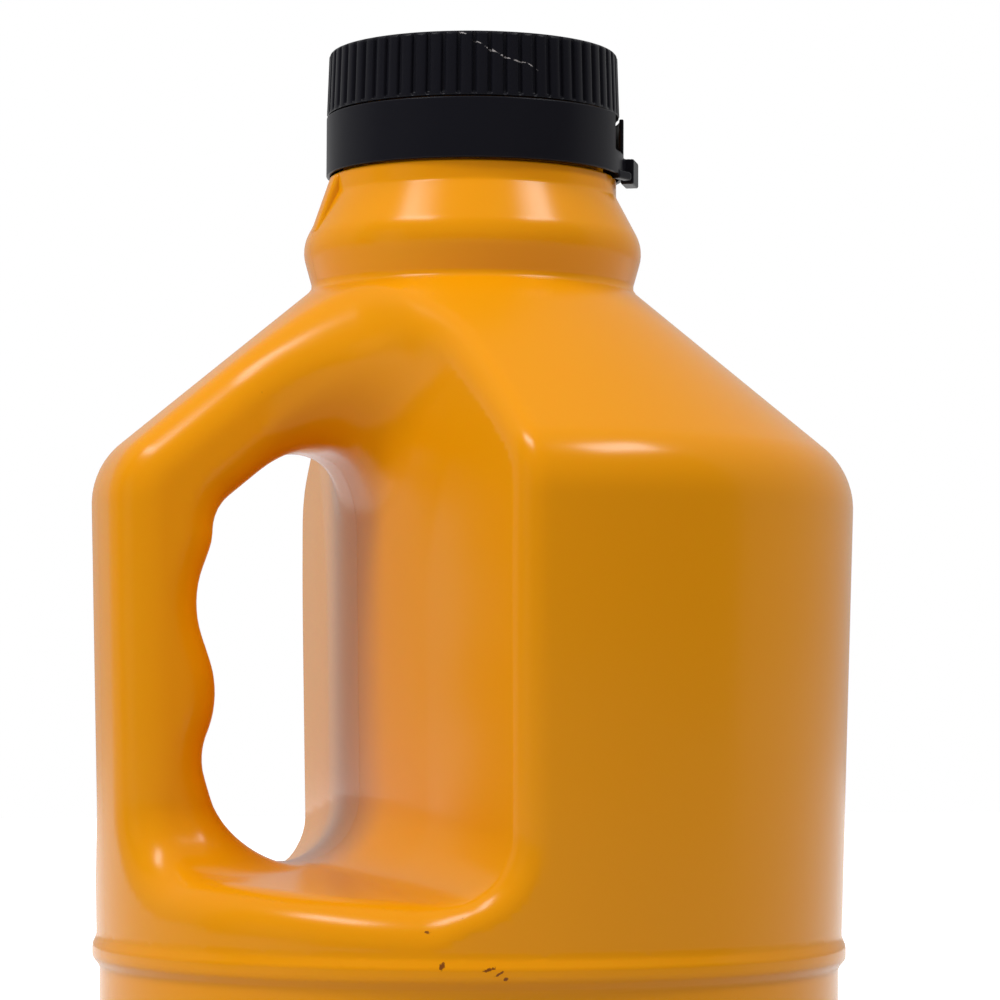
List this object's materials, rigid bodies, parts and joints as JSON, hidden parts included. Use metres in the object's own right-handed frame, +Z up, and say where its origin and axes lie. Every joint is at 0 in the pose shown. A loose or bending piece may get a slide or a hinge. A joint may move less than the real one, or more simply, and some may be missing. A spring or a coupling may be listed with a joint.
{
  "type": "rust converter bottle",
  "caption": "Round blow-moulded plastic jug with a pinched through handle, a wide threaded neck, a ribbed screw cap and a tear-off band with a pull tab.",
  "frame": {"origin": "on the floor under the middle of the round base", "axes": "+Z up the neck, -X towards the handle, the mould's parting plane at y = 0"},
  "size_m": [0.1721, 0.1722, 0.3015],
  "materials": {
    "jug_plastic": "semi-gloss blown polyethylene, yellow-orange",
    "cap_plastic": "near-black moulded plastic",
    "liner_foam": "white foam sheet"
  },
  "bodies": {
    "jug": {"bottle": "jug_plastic", "tear_band": "cap_plastic"},
    "liner": {"cap_liner": "liner_foam"},
    "cap": {"screw_cap": "cap_plastic"}
  },
  "joints": [
    {"name": "cap_lift", "type": "slide", "parent": "jug", "child": "liner", "axis": [0, 0, 1], "range_m": [0, 0.0126]},
    {"name": "cap_turn", "type": "hinge", "parent": "liner", "child": "cap", "pos_m": [0, 0, 0.29], "axis": [0, 0, 1], "range_deg": [0, 1080]}
  ],
  "couplings": [
    {"joint": "cap_lift", "follows": "cap_turn", "m_per_rad": 0.00066845}
  ]
}
